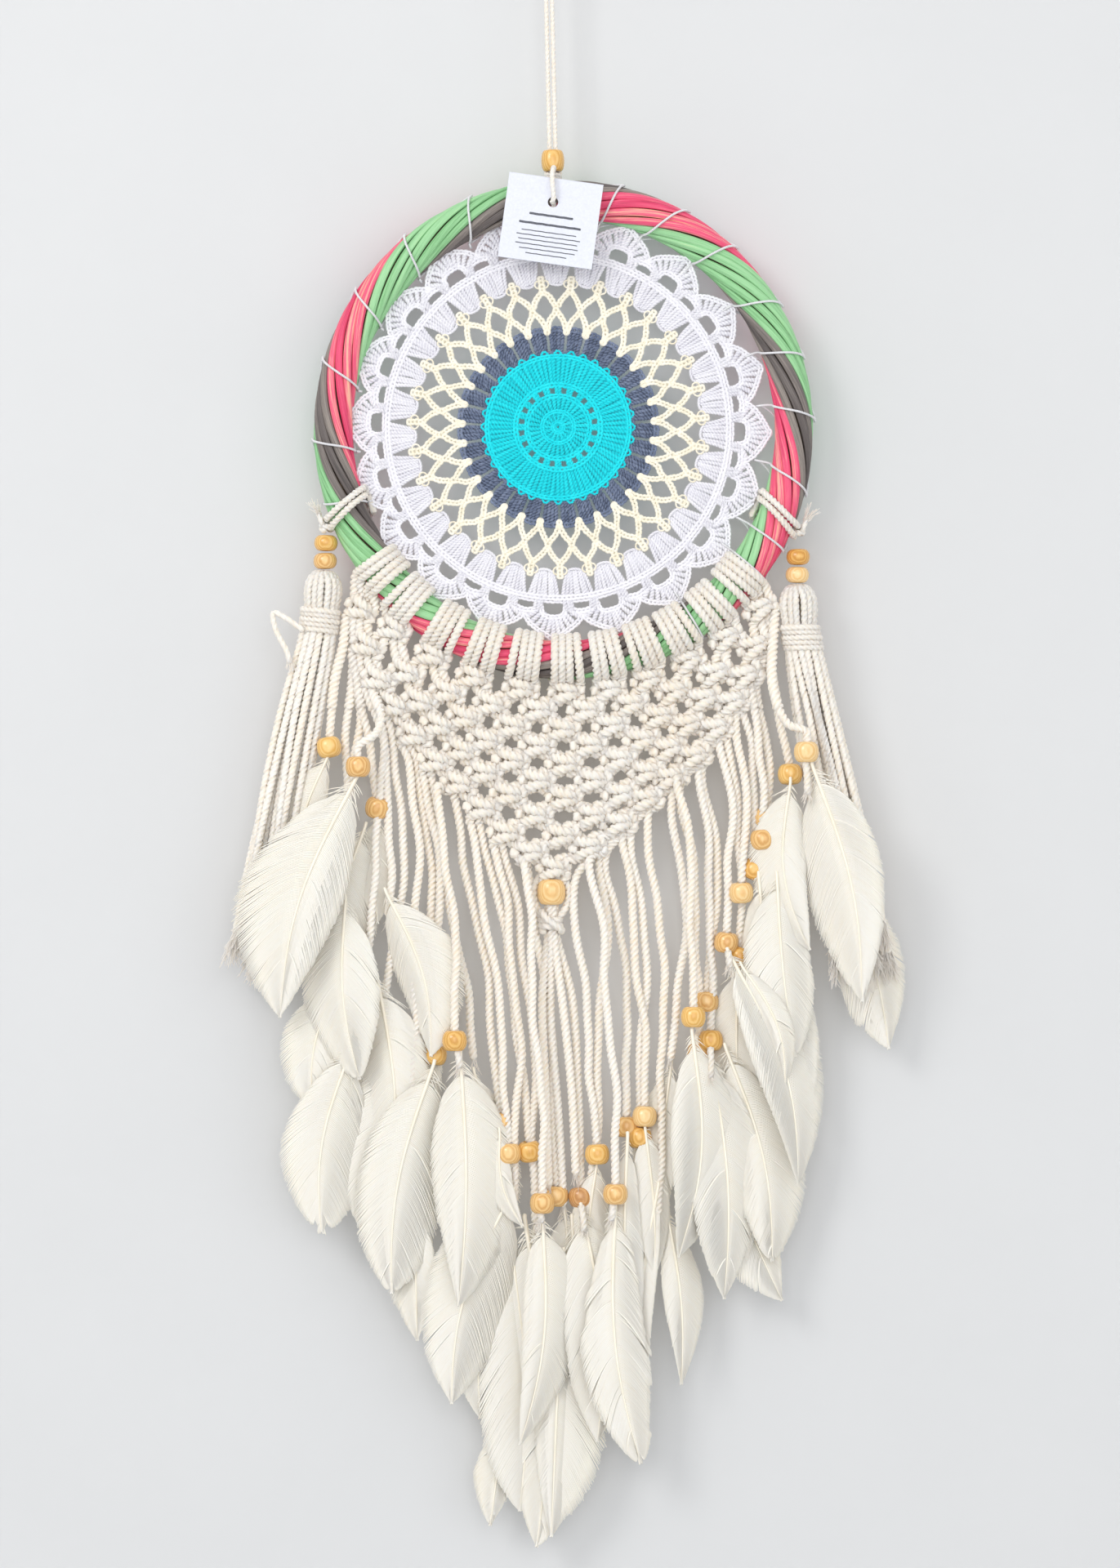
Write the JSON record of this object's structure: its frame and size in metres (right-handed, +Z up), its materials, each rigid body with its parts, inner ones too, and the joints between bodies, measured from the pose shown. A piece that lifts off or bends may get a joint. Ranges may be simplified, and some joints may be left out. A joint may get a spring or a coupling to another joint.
{
  "type": "dream catcher",
  "caption": "Wall-hung dream catcher: a reed hoop with a crocheted doily, a knotted net with a fringe, two tassels, wooden beads and feathers.",
  "frame": {"origin": "the nail inside the top of the hanging cord's loop", "axes": "+Z up along the hanging cord, -Y towards the viewer, +X to the viewer's right"},
  "size_m": [0.2847, 0.0328, 0.7031],
  "materials": {
    "core_wood": "matt",
    "reed_pink": "satin dyed",
    "reed_green": "satin dyed",
    "reed_grey": "satin dyed",
    "yarn_turquoise": "crocheted cotton",
    "yarn_slate": "crocheted cotton",
    "yarn_cream": "crocheted cotton",
    "yarn_white": "crocheted cotton",
    "cotton_cord": "twisted natural cotton",
    "card": "smooth white card",
    "bead_honey": "semi-gloss lacquer",
    "bead_wood": "semi-gloss lacquer",
    "feather": "soft satin"
  },
  "bodies": {
    "hoop": {"hoop_core": "core_wood", "reed_pink_1": "reed_pink", "reed_pink_2": "reed_pink", "reed_pink_3": "reed_pink", "reed_pink_4": "reed_pink", "reed_green_1": "reed_green", "reed_green_2": "reed_green", "reed_green_3": "reed_green", "reed_green_4": "reed_green", "reed_green_5": "reed_green", "reed_grey_1": "reed_grey", "reed_grey_2": "reed_grey", "reed_grey_3": "reed_grey", "doily_center": "yarn_turquoise", "doily_slate_ring": "yarn_slate", "doily_cream_net": "yarn_cream", "doily_white_edge": "yarn_white", "doily_lacing": "yarn_white", "hanging_cord": "cotton_cord", "hanging_hitch": "cotton_cord", "hoop_sling": "cotton_cord", "macrame_header": "cotton_cord", "left_tassel_loop": "cotton_cord", "right_tassel_loop": "cotton_cord"},
    "top_bead": {"top_bead": "bead_wood"},
    "tag": {"label_tag": "card"},
    "left_tassel": {"left_tassel_bead_1": "bead_honey", "left_tassel_bead_2": "bead_honey", "left_tassel_head": "cotton_cord", "left_tassel_wrap": "cotton_cord", "left_tassel_skirt": "cotton_cord"},
    "right_tassel": {"right_tassel_bead_1": "bead_honey", "right_tassel_bead_2": "bead_honey", "right_tassel_head": "cotton_cord", "right_tassel_wrap": "cotton_cord", "right_tassel_skirt": "cotton_cord"},
    "skirt": {"macrame_net": "cotton_cord", "center_bead": "bead_wood", "gathering_knot": "cotton_cord", "fringe_left": "cotton_cord", "fringe_right": "cotton_cord", "lower_feather": "feather"},
    "drop_far_left": {"drop_far_left_cord": "cotton_cord", "drop_far_left_bead": "bead_wood", "drop_far_left_feather": "feather"},
    "drop_left": {"drop_left_cord": "cotton_cord", "drop_left_bead": "bead_wood", "drop_left_feather": "feather"},
    "drop_mid_left": {"drop_mid_left_cord": "cotton_cord", "drop_mid_left_bead": "bead_wood", "drop_mid_left_feather": "feather"},
    "drop_mid_right": {"drop_mid_right_cord": "cotton_cord", "drop_mid_right_bead": "bead_wood", "drop_mid_right_feather": "feather"},
    "drop_right": {"drop_right_cord": "cotton_cord", "drop_right_bead": "bead_wood", "drop_right_feather": "feather"},
    "drop_far_right": {"drop_far_right_cord": "cotton_cord", "drop_far_right_bead": "bead_wood", "drop_far_right_feather": "feather"}
  },
  "joints": [
    {"name": "top_bead_slide", "type": "slide", "parent": "hoop", "child": "top_bead", "axis": [-0.023, 0, 0.9997], "range_m": [0, 0.045]},
    {"name": "tag_swing", "type": "hinge", "parent": "hoop", "child": "tag", "pos_m": [0.00216, -0.01345, -0.10872], "axis": [0, 1, 0], "range_deg": [-20, 20]},
    {"name": "left_tassel_swing", "type": "hinge", "parent": "hoop", "child": "left_tassel", "pos_m": [-0.09792, 0, -0.25272], "axis": [0, 1, 0], "range_deg": [0, 25]},
    {"name": "right_tassel_swing", "type": "hinge", "parent": "hoop", "child": "right_tassel", "pos_m": [0.11052, 0, -0.25848], "axis": [0, -1, 0], "range_deg": [0, 25]},
    {"name": "skirt_swing", "type": "hinge", "parent": "hoop", "child": "skirt", "pos_m": [0, 0.0006, -0.324], "axis": [-1, 0, 0], "range_deg": [0, 35]},
    {"name": "drop_far_left_swing", "type": "hinge", "parent": "skirt", "child": "drop_far_left", "pos_m": [-0.07308, -0.0128, -0.3348], "axis": [-1, 0, 0], "range_deg": [0, 40]},
    {"name": "drop_left_swing", "type": "hinge", "parent": "skirt", "child": "drop_left", "pos_m": [-0.0486, -0.0073, -0.36432], "axis": [-1, 0, 0], "range_deg": [0, 40]},
    {"name": "drop_mid_left_swing", "type": "hinge", "parent": "skirt", "child": "drop_mid_left", "pos_m": [-0.01116, -0.0073, -0.39672], "axis": [-1, 0, 0], "range_deg": [0, 40]},
    {"name": "drop_mid_right_swing", "type": "hinge", "parent": "skirt", "child": "drop_mid_right", "pos_m": [0.01836, -0.0073, -0.396], "axis": [-1, 0, 0], "range_deg": [0, 40]},
    {"name": "drop_right_swing", "type": "hinge", "parent": "skirt", "child": "drop_right", "pos_m": [0.05652, -0.0073, -0.36072], "axis": [-1, 0, 0], "range_deg": [0, 40]},
    {"name": "drop_far_right_swing", "type": "hinge", "parent": "skirt", "child": "drop_far_right", "pos_m": [0.09828, -0.0128, -0.32832], "axis": [-1, 0, 0], "range_deg": [0, 40]}
  ]
}
